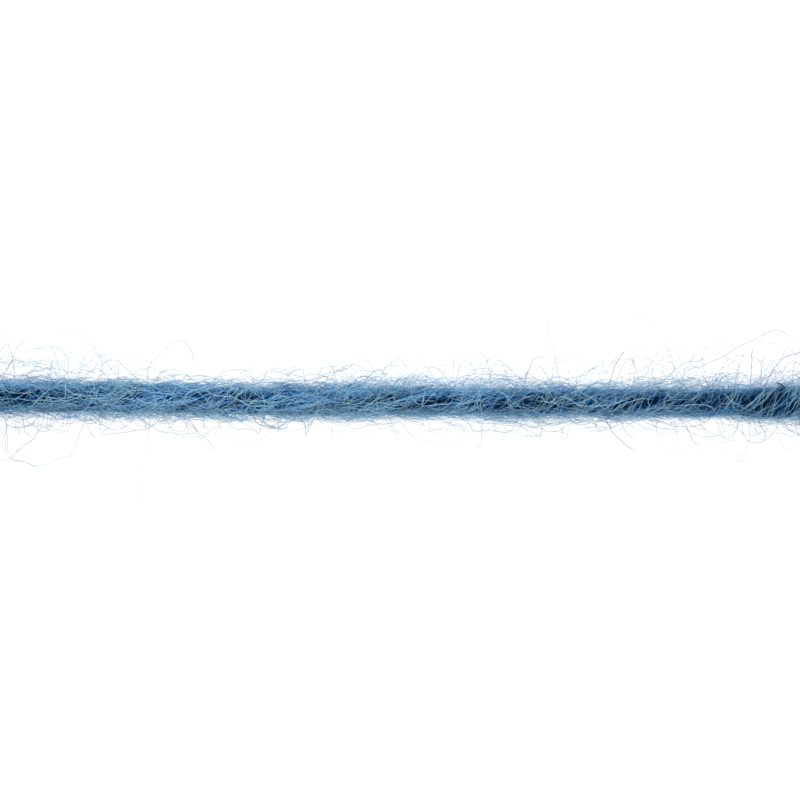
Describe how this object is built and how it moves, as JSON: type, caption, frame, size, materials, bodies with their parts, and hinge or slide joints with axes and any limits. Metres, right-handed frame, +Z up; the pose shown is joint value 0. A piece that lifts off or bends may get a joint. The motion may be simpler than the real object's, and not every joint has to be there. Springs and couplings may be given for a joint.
{
  "type": "length of knitting yarn",
  "caption": "Straight cut length of soft single-ply wool yarn with a slow twist, a lumpy core and loose fibre standing off both sides; rests on its flattened underside.",
  "frame": {"origin": "on the surface that the strand rests on, under the middle of its length", "axes": "+X along the strand, +Y across it towards the far side, +Z up from the surface"},
  "size_m": [0.08, 0.0159, 0.0039],
  "materials": {
    "wool": "matt, spun wool, mid blue with darker gaps between the fibres",
    "fuzz": "matt, loose wool fibre, pale blue"
  },
  "bodies": {
    "root": {"strand": "wool", "fuzz_far": "fuzz", "fuzz_near": "fuzz"}
  },
  "joints": []
}
